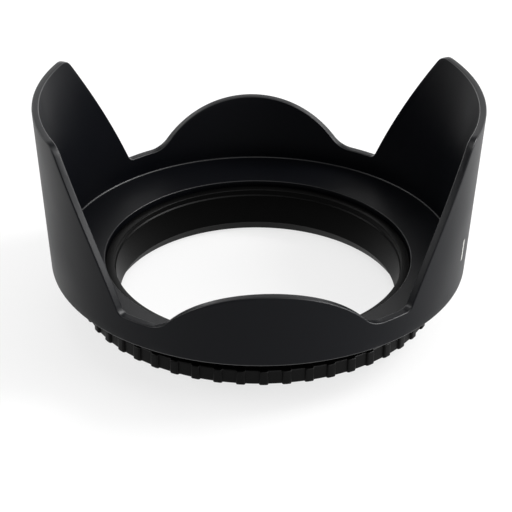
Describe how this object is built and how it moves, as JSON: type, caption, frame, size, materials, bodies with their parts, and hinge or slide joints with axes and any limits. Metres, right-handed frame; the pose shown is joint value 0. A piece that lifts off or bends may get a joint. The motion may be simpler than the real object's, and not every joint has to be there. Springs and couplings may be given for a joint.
{
  "type": "lens hood",
  "caption": "Screw-in petal lens hood: flared shell with long and short petals, threaded mount ring and ribbed locking ring.",
  "frame": {"origin": "on the hood's axis, in the plane of the threaded tube's rear end, on which the hood stands", "axes": "+Z along the axis towards the subject, +X and -X through the long petals, +Y and -Y through the short ones"},
  "size_m": [0.085, 0.0826, 0.044],
  "materials": {
    "mount_ring": "fine matt moulded ABS, black",
    "hood_shell": "fine spark-eroded texture on moulded ABS, black",
    "slip_washer": "plain black sheet plastic",
    "locking_ring": "matt moulded ABS, black"
  },
  "bodies": {
    "mount": {"mount_ring": "mount_ring"},
    "hood": {"hood_shell": "hood_shell"},
    "washer": {"slip_washer": "slip_washer"},
    "lock": {"locking_ring": "locking_ring"}
  },
  "joints": [
    {"name": "hood_turn", "type": "hinge", "parent": "mount", "child": "hood", "pos_m": [0, 0, 0.0073], "axis": [0, 0, 1], "continuous": true},
    {"name": "ring_advance", "type": "slide", "parent": "mount", "child": "washer", "axis": [0, 0, -1], "range_m": [0, 0.0015]},
    {"name": "ring_spin", "type": "hinge", "parent": "washer", "child": "lock", "pos_m": [0, 0, 0.00445], "axis": [0, 0, 1], "range_deg": [0, 720]}
  ],
  "couplings": [
    {"joint": "ring_advance", "follows": "ring_spin", "m_per_rad": 0.00011937}
  ]
}
